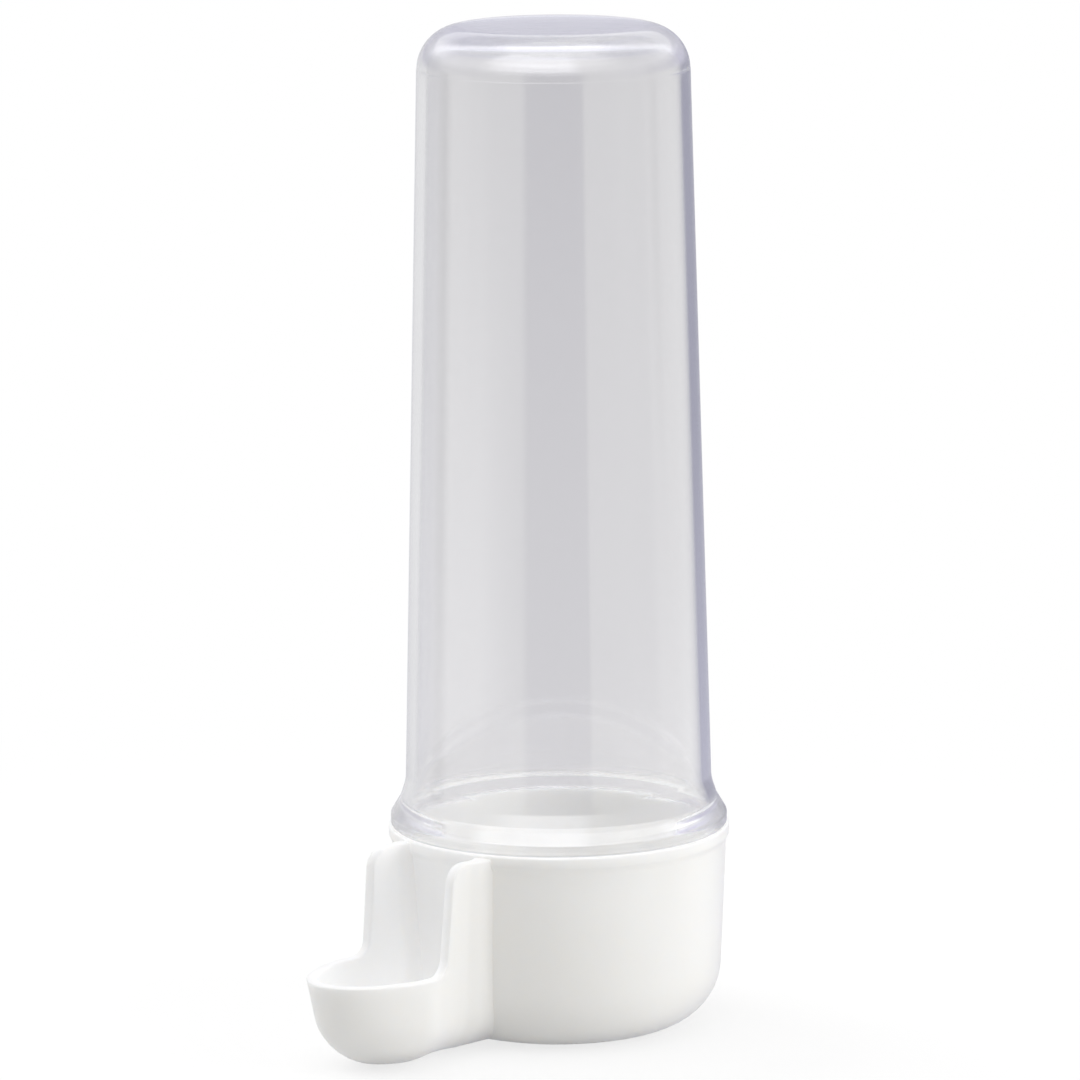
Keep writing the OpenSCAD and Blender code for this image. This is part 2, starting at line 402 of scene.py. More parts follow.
@dataclass(frozen=True)
class ClearMouldedPolystyrene:
    """Clear polystyrene from a polished mould.

    It gives the eye bright reflections, a grey cast that pales towards the mouth, and slight waves down the
    draw, where the melt flowed along the core. The closed end is rippled, and both ends are less polished,
    so their highlights are soft. A pair in millimetres holds the heights where a change starts and ends.
    """

    name: str = "clear_polystyrene_moulded"
    end_tint: str = "#F3F3F3"
    mouth_tint: str = "#F8F8F8"
    tint_from_mm: tuple[float, float] = (160.0, 45.0)
    ior: float = 1.59
    roughness: tuple[float, float] = (0.015, 0.05)
    rub: Grain = Grain(9.0, 4.0, 0.6)
    rub_span: tuple[float, float] = (0.35, 0.7)
    wave: Grain = Grain(7.0, 1.0, 0.4)
    wave_stretch: float = 10.0
    wave_height_mm: float = 0.01
    ripple: Grain = Grain(6.0, 2.0, 0.5)
    ripple_height_mm: float = 0.025
    end_from_mm: tuple[float, float] = (158.0, 165.0)
    end_roughness: float = 0.08
    mouth_from_mm: tuple[float, float] = (50.0, 41.0)
    mouth_roughness: float = 0.05

    def material(self) -> bpy.types.Material:
        """Build the finish's nodes.

        Returns:
            The material.
        """
        material = empty_material(self.name)
        tree = material.node_tree
        place = add_node(tree, "TexCoord").outputs["Object"]
        height = add_node(tree, "SeparateXYZ", links={0: place}).outputs["Z"]
        end = add_node(
            tree, "MapRange", span("From", self.end_from_mm, MM), {"Value": height},
            interpolation_type="SMOOTHSTEP")
        mouth = span("From", self.mouth_from_mm, MM)

        rub = add_node(tree, "TexNoise", self.rub.values(), {"Vector": place})
        gloss = add_node(
            tree, "MapRange", {**span("From", self.rub_span), **span("To", self.roughness)}, {"Value": rub})
        dulled = add_node(
            tree, "Math", {1: self.end_roughness}, {0: end, 2: gloss}, operation="MULTIPLY_ADD")
        soft = add_node(
            tree, "MapRange", {**mouth, **span("To", (0.0, self.mouth_roughness))}, {"Value": height})
        dull = add_node(tree, "Math", links={0: dulled, 1: soft}, operation="ADD")

        drawn = add_node(
            tree, "Mapping", {"Scale": (1.0, 1.0, 1 / self.wave_stretch)}, {"Vector": place})
        wave = add_node(tree, "TexNoise", self.wave.values(), {"Vector": drawn})
        calm = add_node(tree, "MapRange", {**mouth, **span("To", (1.0, 0.0))}, {"Value": height})
        waved = add_node(
            tree, "Bump", {"Distance": self.wave_height_mm * MM}, {"Strength": calm, "Height": wave})
        ripple = add_node(tree, "TexNoise", self.ripple.values(), {"Vector": place})
        rippled = add_node(
            tree, "Bump", {"Distance": self.ripple_height_mm * MM},
            {"Strength": end, "Height": ripple, "Normal": waved})

        pale = add_node(tree, "MapRange", span("From", self.tint_from_mm, MM), {"Value": height})
        tint = add_node(
            tree, "Mix", {COLOUR_A: linear(self.end_tint), COLOUR_B: linear(self.mouth_tint)}, {0: pale},
            data_type="RGBA")
        surface = add_node(
            tree, "BsdfPrincipled", {"IOR": self.ior, "Transmission Weight": 1.0},
            {"Base Color": tint.outputs[COLOUR_OUT], "Roughness": dull, "Normal": rippled})
        add_node(tree, "OutputMaterial", links={"Surface": surface})
        return material


def ease(t: Array) -> Array:
    """Rise from 0 to 1 with level ends: c c (3 - 2 c), where c is t held between 0 and 1."""
    c = np.clip(t, 0.0, 1.0)
    return c * c * (3 - 2 * c)


def quarter(r: float, run: Array) -> Array:
    """Depth of a round of the radius r at a distance run from its end: r - sqrt(r r - run run)."""
    return r - np.sqrt(np.maximum(r * r - np.clip(run, 0.0, r) ** 2, 0.0))


@dataclass
class Cup:
    """The round cup of the base, in millimetres."""

    height: float = 34.4
    diameter: float = 56.9
    wall: float = 1.8
    draft_deg: float = 2.5
    bilge_r: float = 10.7
    lip_out: float = 0.4
    lip_h: float = 2.7
    lip_edge_r: float = 0.3
    lip_foot_h: float = 1.0
    lip_foot_r: float = 1.2
    mouth_edge_r: float = 0.25
    segments: int = 288
    arc_steps: int = 14
    longest: float = 2.0

    def outer_r(self, z: Array | float) -> Array | float:
        """Radius of the drafted wall outside, at the height z."""
        return self.diameter / 2 - (self.height - z) * math.tan(math.radians(self.draft_deg))

    def middle_r(self, z: Array) -> Array:
        """Find the radius half way through the wall, or through the round below it.

        On the round it is the foot's radius + sqrt(bend bend - (bilge's radius - z)^2).

        Args:
            z: heights.

        Returns:
            The radius at each height.
        """
        foot_r = self.outer_r(0.0) - self.bilge_r
        bend = self.bilge_r - self.wall / 2
        below = foot_r + np.sqrt(np.maximum(bend ** 2 - (self.bilge_r - z) ** 2, 0.0))
        return np.where(z < self.bilge_r, below, self.outer_r(z) - self.wall / 2)

    def section(self) -> Array:
        """Draw the cup's half section: foot, round edge, drafted wall, lip, socket and floor.

        Returns:
            The section's points as radius and height.
        """
        lip_r = self.diameter / 2 + self.lip_out
        lip_z = self.height - self.lip_h
        corners = [
            (0.0, 0.0, 0.0),
            (self.outer_r(0.0), 0.0, self.bilge_r),
            (self.outer_r(lip_z), lip_z, self.lip_foot_r),
            (lip_r, lip_z + self.lip_foot_h, self.lip_foot_r),
            (lip_r, self.height, self.lip_edge_r),
            (self.outer_r(self.height) - self.wall, self.height, self.mouth_edge_r),
            (self.outer_r(self.wall) - self.wall, self.wall, self.bilge_r - self.wall),
            (0.0, self.wall, 0.0),
        ]
        return divided(rounded_path(corners, self.arc_steps), self.longest)

    def build(self, name: str) -> bpy.types.Object:
        """Make the cup as a solid of revolution."""
        return solid(name, *revolved(self.section(), self.segments))


class Skin(Enum):
    """The two faces of the spout's wall, by the number of walls that lie outside them."""

    OUTSIDE = 0
    INSIDE = 1


@dataclass
class Spout:
    """The drinking spout: an open trough with a round bow and two cheeks, in millimetres."""

    cup: Cup
    root_w: float = 19.9
    neck_w: float = 19.1
    trough_w: float = 23.4
    wall: float = 2.0
    root_l: float = 0.3
    root_blend_l: float = 2.7
    neck_l: float = 4.55
    trough_l: float = 14.05
    cheek_l: float = 8.35
    tip_l: float = 27.75
    cheek_drop: float = 0.5
    rim_h: float = 15.8
    cheek_lean_deg: float = 5.5
    cheek_corner_r: float = 3.5
    cheek_foot_r: float = 3.0
    bilge_r: float = 8.2
    lift: float = 0.5
    side_draft_deg: float = 2.5
    bow_rake_deg: float = 15.5
    corner_r: float = 6.0
    rise_share: float = 0.9
    edge_r: float = 0.35
    seat_steps: int = 40
    top_steps: int = 14
    arc_steps: int = 12
    front_steps: int = 16
    bow_steps: int = 56
    floor_steps: int = 5
    bilge_steps: int = 14
    side_steps: int = 10
    edge_steps: int = 6

    def __post_init__(self) -> None:
        """Work out the reaches and heights that the sizes give."""
        rim = self.cup.diameter / 2
        self.root_end = rim + self.root_l
        self.neck_reach = rim + self.neck_l
        self.trough_reach = rim + self.trough_l
        self.cheek_reach = rim + self.cheek_l
        self.bow_l = self.tip_l - self.cheek_l
        self.cheek_h = self.cup.height - self.cheek_drop
        self.back_reach = self.cup.outer_r(0.0) - self.cup.wall
        self.side_slope = math.tan(math.radians(self.side_draft_deg))
        self.bow_slope = math.tan(math.radians(self.bow_rake_deg))

    def half_width(self, reach: Array) -> Array:
        """Find half the width outside, at the rim's height.

        It goes from the root's width to the neck's and on to the trough's, eased from one into the next.

        Args:
            reach: distances from the tube's axis.

        Returns:
            Half the width at each reach.
        """
        root = ease((self.root_end + self.root_blend_l - reach) / self.root_blend_l)
        trough = ease((reach - self.neck_reach) / (self.trough_reach - self.neck_reach))
        wider = (self.root_w - self.neck_w) * root + (self.trough_w - self.neck_w) * trough
        return (self.neck_w + wider) / 2

    def rim_line(self) -> tuple[Array, Array]:
        """Follow the cheek's edge in side view, from where its top's corner starts to the end of its foot.

        The outline's own ends, at the axis and well past the foot, only give the corners their directions.

        Returns:
            The edge's points as reach and height, and its unit normals, which point into the air.
        """
        lean = math.tan(math.radians(self.cheek_lean_deg))
        top_reach = self.cheek_reach - (self.cheek_h - self.rim_h) * lean
        corners = [
            (0.0, self.cheek_h, 0.0),
            (top_reach, self.cheek_h, self.cheek_corner_r),
            (self.cheek_reach, self.rim_h, self.cheek_foot_r),
            (2 * self.cheek_reach, self.rim_h, 0.0),
        ]
        path = rounded_path(corners, self.arc_steps)[1:-1]
        corner, foot = np.split(path, 2)
        share = np.linspace(0, 1, self.front_steps + 1)[1:-1, None]
        line = np.vstack([corner, corner[-1] + share * (foot[0] - corner[-1]), foot])
        forward = np.gradient(line, axis=0)
        forward[[0, -1]] = (1.0, 0.0)
        forward /= np.linalg.norm(forward, axis=1)[:, None]
        return line, np.column_stack([-forward[:, 1], forward[:, 0]])

    def rows(self, skin: Skin) -> dict[str, Array]:
        """List the rows of one face of the wall, from the floor's middle line up to the flat of the rim.

        A row has a share of the floor's width, a depth below the rim's edge, how far it is drawn in, a
        height, a share of the way from the top of the bilge's round up to the rim's round, and a mark if it
        is on the rim's round.

        Args:
            skin: the face.

        Returns:
            The rows' values by name.
        """
        r = self.bilge_r - skin.value * self.wall
        low = self.lift + skin.value * self.wall
        turn = np.linspace(0, np.pi / 2, self.bilge_steps + 1)
        edge = np.linspace(0, np.pi / 2, self.edge_steps + 1)[1:]
        share = np.arange(self.floor_steps) / self.floor_steps
        floor = 0 * share
        bilge = 0 * turn
        side = np.arange(1, self.side_steps + 1) / self.side_steps
        rim = np.ones(self.edge_steps)
        inward = 1 - 2 * skin.value
        return {
            "width": np.concatenate([share, bilge + 1, 0 * side + 1, rim]),
            "depth": np.concatenate([floor, bilge, 0 * side, self.edge_r * (1 - np.sin(edge))]),
            "inset": skin.value * self.wall + np.concatenate(
                [floor + r, r * (1 - np.sin(turn)), 0 * side, inward * self.edge_r * (1 - np.cos(edge))]),
            "height": np.concatenate([floor + low, low + r * (1 - np.cos(turn)), 0 * side + low + r, rim]),
            "climb": np.concatenate([floor, bilge, side, 0 * rim]),
            "on_edge": np.concatenate([floor, bilge, 0 * side, rim]),
        }

    def place(
        self, reach: Array, turn: Array, z: Array, inset: Array, skin: Skin,
    ) -> tuple[Array, Array, Array]:
        """Find a point of the wall.

        At the height z the side is drawn in by inset + (rim's height - z) tan(draft), and the bow by
        inset + (rim's height - z) tan(rake). The bow is a half ellipse in the angle turn, which is 0 along
        the side. Inside, the side comes in by a round near the cup, and the floor rises by another one.

        Args:
            reach: where the bow's ellipse is centred, or the point's own reach on the side.
            turn: angle on the bow, in radians.
            z: height before the floor's rise.
            inset: how far the point is drawn in.
            skin: the face.

        Returns:
            Half width, reach and height.
        """
        low = self.lift + self.wall
        r = self.bilge_r - self.wall
        drop = self.rim_h - z
        along = reach + (self.bow_l - inset - drop * self.bow_slope) * np.sin(turn)
        across = (self.half_width(along) - inset - drop * self.side_slope) * np.cos(turn)
        if skin is Skin.INSIDE:
            across = across - quarter(self.corner_r, self.back_reach + self.corner_r - along)
            rise = np.minimum(quarter(r, self.back_reach + r - along), self.rise_share * r)
            z = np.where(z < low + r, low + rise + (z - low) * (1 - rise / r), z)
        return np.maximum(across, 0.0), along, z

    def face(self, skin: Skin) -> Array:
        """Work out one face of the wall's right half as a grid.

        Rows run from the floor's middle line up to the rim. Columns run along the rim: over the cheek's top
        from half way through the cup's wall, round its corner, down its front edge, round its foot, and
        along the bow to the tip. A row's end in the cup's wall is found by steps, because its width there
        depends on its reach: each step goes half way to sqrt(wall's radius^2 - half width^2).

        Args:
            skin: the face.

        Returns:
            Points by row and column.
        """
        row = {name: value[:, None] for name, value in self.rows(skin).items()}
        line, normal = self.rim_line()
        inset = skin.value * self.wall
        depth = np.where(row["on_edge"] > 0, row["depth"], self.edge_r)
        reach = line[:, 0] - depth * normal[:, 0]
        rim_z = line[:, 1] - depth * normal[:, 1]
        bow_l = self.bow_l - inset - (self.rim_h - rim_z) * self.bow_slope
        turn = np.arcsin(np.clip((reach - self.cheek_reach) / bow_l, 0.0, 1.0))
        reach = np.minimum(reach, self.cheek_reach)

        bow = np.linspace(0, 1, self.bow_steps + 1)[1:]
        turn = np.hstack([turn, turn[:, -1:] + (np.pi / 2 - turn[:, -1:]) * bow])
        reach = np.hstack([reach, self.cheek_reach + 0 * reach[:, :1] * bow])
        rim_z = np.hstack([rim_z, rim_z[:, -1:] + 0 * bow])

        start_z = self.cheek_h - depth
        rear = 0 * depth + self.back_reach
        for _ in range(self.seat_steps):
            z = self.row_height(row, start_z)
            across, _, z = self.place(rear, 0 * rear, z, row["inset"], skin)
            wall_r = self.cup.middle_r(z)
            rear = (rear + np.sqrt(np.maximum(wall_r ** 2 - (row["width"] * across) ** 2, 0.0))) / 2
        share = np.linspace(0, 1, self.top_steps + 1)[:-1]
        reach = np.hstack([rear + share * (reach[:, :1] - rear), reach])
        turn = np.hstack([0 * rear * share, turn])
        rim_z = np.hstack([start_z + 0 * share, rim_z])

        across, along, z = self.place(reach, turn, self.row_height(row, rim_z), row["inset"], skin)
        return np.stack([row["width"] * across, -along, z], -1)

    def row_height(self, row: dict[str, Array], rim_z: Array) -> Array:
        """Height of each row: its own, climbing to the rim's round on the side, or the rim's own there."""
        climbing = row["height"] + row["climb"] * (rim_z - row["height"])
        return np.where(row["on_edge"] > 0, rim_z, climbing)

    def holds(self, x: Array, y: Array, z: Array) -> Array:
        """Tell which points lie in the spout's hollow, out to half way through its wall.

        At the height z the hollow's half width is the outside's, less half the wall, the draft and the
        bilge's round. In the bow's ellipse, (x / half width)^2 + (reach past cheeks / bow's length)^2 < 1.

        Args:
            x: the points' places across the spout.
            y: their places along it, which are negative in front of the axis.
            z: their heights.

        Returns:
            True for each point in the hollow.
        """
        skin = self.wall / 2
        low = self.lift + skin
        r = self.bilge_r - skin
        inset = skin + quarter(r, r - (z - low))
        drop = self.rim_h - z
        half = np.maximum(self.half_width(-y) - inset - drop * self.side_slope, WELD_MM)
        bow = np.maximum(self.bow_l - inset - drop * self.bow_slope, WELD_MM)
        past = np.maximum(-y - self.cheek_reach, 0.0)
        in_front = (y < 0) & (np.hypot(x, y) > self.cup.middle_r(z)) & (z > low)
        return in_front & ((x / half) ** 2 + (past / bow) ** 2 < 1)

    def build(self, name: str) -> bpy.types.Object:
        """Make the spout as one closed wall, which ends half way through the cup's wall.

        The left half mirrors the right one, and a strip of quads closes each end between the two faces.

        Args:
            name: the solid's name.

        Returns:
            The spout's solid.
        """
        right = np.vstack([self.face(Skin.OUTSIDE), self.face(Skin.INSIDE)[::-1]])
        left = right[:, -2::-1] * (-1, 1, 1)
        grid = np.hstack([right, left])
        rows, columns = grid.shape[:2]
        skin = grid_faces(rows, columns, False)
        outside = np.arange(rows // 2) * columns
        inside = (rows - 1) * columns - outside
        strip = np.stack([outside[:-1], outside[1:], inside[1:], inside[:-1]], -1)
        return solid(name, grid.reshape(-1, 3), np.vstack([skin, strip, strip + columns - 1]))


@dataclass
class WaterPort:
    """The slot at the cup's floor that lets water into the trough, in millimetres."""

    spout: Spout
    width: float = 7.0
    step: float = 0.5
    drop: float = 4.4
    corner_r: float = 3.4
    arc_steps: int = 10
    start: float = 16.25

    def build(self, name: str) -> bpy.types.Object:
        """Make the slot's cutter.

        Args:
            name: the cutter's name.

        Returns:
            The cutter's solid, from inside the cup to the cheeks' front.
        """
        low = self.spout.lift + self.spout.wall + self.step
        high = self.spout.rim_h - self.drop
        half = self.width / 2
        square = ((-half, low), (half, low), (half, high), (-half, high))
        outline = rounded_path([(x, z, self.corner_r) for x, z in square], self.arc_steps)
        return solid(name, *extruded(outline, -self.start, -self.spout.cheek_reach))


@dataclass
class SpoutBase:
    """The white base: a round cup moulded in one with the drinking spout."""

    node: str = "spout_base"
    # Painted light: the share of the whiter tone that brightens the cup's inside.
    cup_painted_light_share: float = 0.45
    cup: Cup = field(default_factory=Cup)
    finish: WhiteMouldedPolystyrene = WhiteMouldedPolystyrene()

    def build(self) -> bpy.types.Object:
        """Make the base's mesh: the cup and the spout joined, with the port cut through.

        Returns:
            The base's object.
        """
        spout = Spout(self.cup)
        piece = self.cup.build("white_base")
        combine(piece, spout.build("spout_wall"), Join.ADD)
        combine(piece, WaterPort(spout).build("port_cutter"), Join.CUT)
        smooth(piece)
        # Painted light: whiten the insides of the spout and the cup.
        self.mark_painted_light(piece, spout)
        return piece

    def mark_painted_light(self, piece: bpy.types.Object, spout: Spout) -> None:
        """Mark where painted light whitens the base: the spout's inside, and in part the cup's.

        The cup's inside gets only a share of the painted light.

        Args:
            piece: the base's mesh object.
            spout: the spout that is part of it.
        """
        x, y, z = coordinates(piece).T / MM
        in_cup = (np.hypot(x, y) < self.cup.middle_r(z)) & (z > self.cup.wall / 2)
        mark = piece.data.attributes.new(PAINTED_LIGHT_MARK, "FLOAT", "POINT")
        # Painted light: the spout's hollow gets the whiter tone in full, the cup's inside a share of it.
        share = np.maximum(self.cup_painted_light_share * in_cup, spout.holds(x, y, z))
        mark.data.foreach_set("value", share.astype(np.float32))

    def dress(self, piece: bpy.types.Object) -> None:
        """Give the base its finish, and set it on its body in place of its solid."""
        piece.data.materials.append(self.finish.material())
        settle(piece, self.node, Body.BASE)


@dataclass
class ReservoirTube:
    """The clear tube that plugs into the base, in millimetres."""

    cup: Cup
    node: str = "reservoir_tube"
    height: float = 135.6
    step: float = 2.55
    draft_deg: float = 1.45
    wall: float = 1.6
    top_wall: float = 2.4
    shoulder_r: float = 7.3
    parting_step: float = 0.05
    parting_h: float = 0.15
    parting_r: float = 0.15
    flange_step: float = 0.35
    flange_t: float = 1.9
    flange_top_r: float = 1.0
    crease_h: float = 4.7
    crease_out: float = 0.85
    crease_r: float = 0.5
    flare_h: float = 7.6
    bell_h: float = 3.6
    bell_r: float = 3.0
    bore_drop: float = 0.25
    plug_l: float = 10.0
    plug_wall: float = 1.25
    fit_gap: float = 0.06
    seat_gap: float = 0.04
    edge_r: float = 0.5
    segments: int = 288
    arc_steps: int = 16
    longest: float = 2.5
    finish: ClearMouldedPolystyrene = ClearMouldedPolystyrene()

    def outer_r(self, z: float) -> float:
        """Radius of the drafted wall outside, at the height z."""
        rise = z - self.cup.height - self.flare_h
        return self.cup.diameter / 2 - self.step - rise * math.tan(math.radians(self.draft_deg))

    def plug_r(self, z: float) -> float:
        """Radius of the plug, which clears the cup's wall by the fit's gap."""
        return self.cup.outer_r(z) - self.cup.wall - self.fit_gap

    def section(self) -> Array:
        """Draw the tube's half section: bore with a bell at its mouth, plug, flared flange and wall.

        Returns:
            The section's points as radius and height.
        """
        wall = self.wall
        seat = self.cup.height
        plug = seat - self.plug_l
        crease = seat + self.crease_h
        flare = seat + self.flare_h
        top = seat + self.height
        under_top = top - self.top_wall
        parting = top - self.shoulder_r
        flange_r = self.cup.diameter / 2 + self.cup.lip_out - self.flange_step
        corners = [
            (0.0, under_top, 0.0),
            (self.outer_r(under_top) - wall, under_top, self.shoulder_r - self.top_wall),
            (self.outer_r(flare) - wall, flare - self.bore_drop, self.flare_h + wall),
            (self.plug_r(seat + self.bell_h) - self.plug_wall, seat + self.bell_h, self.bell_r),
            (self.plug_r(plug) - self.plug_wall, plug, self.edge_r),
            (self.plug_r(plug), plug, self.edge_r),
            (self.plug_r(seat), seat + self.seat_gap, 0.0),
            (flange_r, seat + self.seat_gap, self.edge_r),
            (flange_r, seat + self.flange_t, self.flange_top_r),
            (self.outer_r(crease) + self.crease_out, crease, self.crease_r),
            (self.outer_r(flare), flare, self.flare_h),
            (self.outer_r(parting), parting, self.parting_r),
            (self.outer_r(parting) - self.parting_step, parting + self.parting_h, self.parting_r),
            (self.outer_r(top) - self.parting_step, top, self.shoulder_r),
            (0.0, top, 0.0),
        ]
        return divided(rounded_path(corners, self.arc_steps), self.longest)

    def build(self) -> bpy.types.Object:
        """Make the tube as a solid of revolution.

        Returns:
            The tube's object.
        """
        piece = solid("clear_tube", *revolved(self.section(), self.segments))
        smooth(piece)
        return piece

    def dress(self, piece: bpy.types.Object) -> None:
        """Give the tube its finish, and set it on its body in place of its solid.

        Light from lamps and other surfaces goes straight through, as it nearly does through clear plastic.

        Args:
            piece: the tube's object.
        """
        piece.data.materials.append(self.finish.material())
        piece.visible_shadow = False
        piece.visible_diffuse = False
        settle(piece, self.node, Body.TUBE)


def settle(piece: bpy.types.Object, node: str, body: Body) -> None:
    """Let a piece stand for a node of the frame, and log how its box differs from the node's.

    Args:
        piece: the finished piece.
        node: the node that it replaces.
        body: the body that it rides on.
    """
    places = coordinates(piece)
    low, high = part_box(node)
    off = max(np.abs(places.min(0) - low).max(), np.abs(places.max(0) - high).max()) / MM
    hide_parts(node)
    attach(piece, body.value)
    log.info("%s: %d faces, box off by %.3f mm", piece.name, len(piece.data.polygons), off)


def stand(name: str, data: bpy.types.ID, columns: list[Array]) -> bpy.types.Object:
    """Stand a camera or a lamp in the scene, looking along its own -Z.

    Args:
        name: the object's name.
        data: the camera or the lamp.
        columns: the directions of its own X, Y and Z, and its place in metres.

    Returns:
        The object, linked into the scene.
    """
    matrix = np.eye(4)
    matrix[:3] = np.column_stack(columns)
    item = bpy.data.objects.new(name, data)
    item.matrix_world = Matrix(matrix.tolist())
    bpy.context.scene.collection.objects.link(item)
    return item


@dataclass(frozen=True)
class Softbox:
    """A rectangular studio lamp that faces the object, placed as seen from the object.

    Azimuth 0 is the camera's side, and it grows to the camera's right.
    """

    name: str
    azimuth_deg: float
    elevation_deg: float
    distance_m: float
    width_m: float
    height_m: float
    radiance: float


@dataclass(frozen=True)
class Ring:
    """A ring of the surroundings that reflections show, as colours by azimuth.

    Azimuth 0 is behind the object, it grows to the camera's right, and 180 either way is the camera. The
    ring takes over from the one below it between two elevations.
    """

    elevations_deg: tuple[float, float]
    strength: float
    stops: tuple[tuple[float, str], ...]


# The dark gap that the panels and the curtain leave round the camera.
GAP = "#74728C"
TABLE = Ring((-90.0, -89.0), 1.5, (
    (-180, "#A4A4A6"), (-140, "#AEAEB0"), (-100, "#BEBEC0"), (-30, "#BEBEC0"), (0, "#B4B4B8"),
    (10, "#A2A2B0"), (40, "#A2A2B0"), (60, "#F4F4F4"), (120, "#F4F4F4"), (150, "#A8A8AA"),
    (180, "#A4A4A6")))
PANELS = Ring((-13.5, -8.0), 1.0, (
    (-180, GAP), (-157, GAP), (-152, "#D8D8DA"), (-126, "#DADADC"), (-116, "#F6F6F6"),
    (-83, "#F6F6F6"), (-79, "#8C8C90"), (-71, "#8C8C90"), (-66, "#EAEAEC"), (-20, "#EAEAEC"),
    (0, "#D8D8DC"), (8, "#A8A8B8"), (40, "#A8A8B8"), (55, WHITE), (92, WHITE), (100, "#DEDEE0"),
    (153.5, "#DEDEE0"), (156, GAP), (180, GAP)))
CURTAIN = Ring((2.0, 6.0), 1.0, (
    (-180, GAP), (-157, GAP), (-150, "#D4D4D6"), (-70, "#D4D4DE"), (-50, "#D0D0D8"),
    (50, "#CCCAE0"), (70, "#D8D6EA"), (148, "#DADADC"), (156, GAP), (180, GAP)))
WINDOW = Ring((18.0, 22.0), 4.2, (
    (-180, "#BCBCC0"), (-152, "#BCBCC0"), (-140, "#B4B4B8"), (-118, "#A8A8AA"), (-105, "#8C8C92"),
    (0, "#9C9CA0"), (100, "#8C8C92"), (120, "#909092"), (152, "#98989A"), (163, "#BCBCC0"),
    (180, "#BCBCC0")))
SKY = Ring((31.0, 37.0), 6.0, (
    (-180, "#DADADE"), (-150, "#DADADE"), (-140, "#CCCCD0"), (-118, "#CCCCCE"), (-105, "#76767A"),
    (0, "#707076"), (100, "#76767A"), (120, "#9C9C9E"), (152, "#A6A6A8"), (163, "#DADADE"),
    (180, "#DADADE")))
CEILING = Ring((60.0, 70.0), 2.4, ((-180, WHITE), (180, WHITE)))


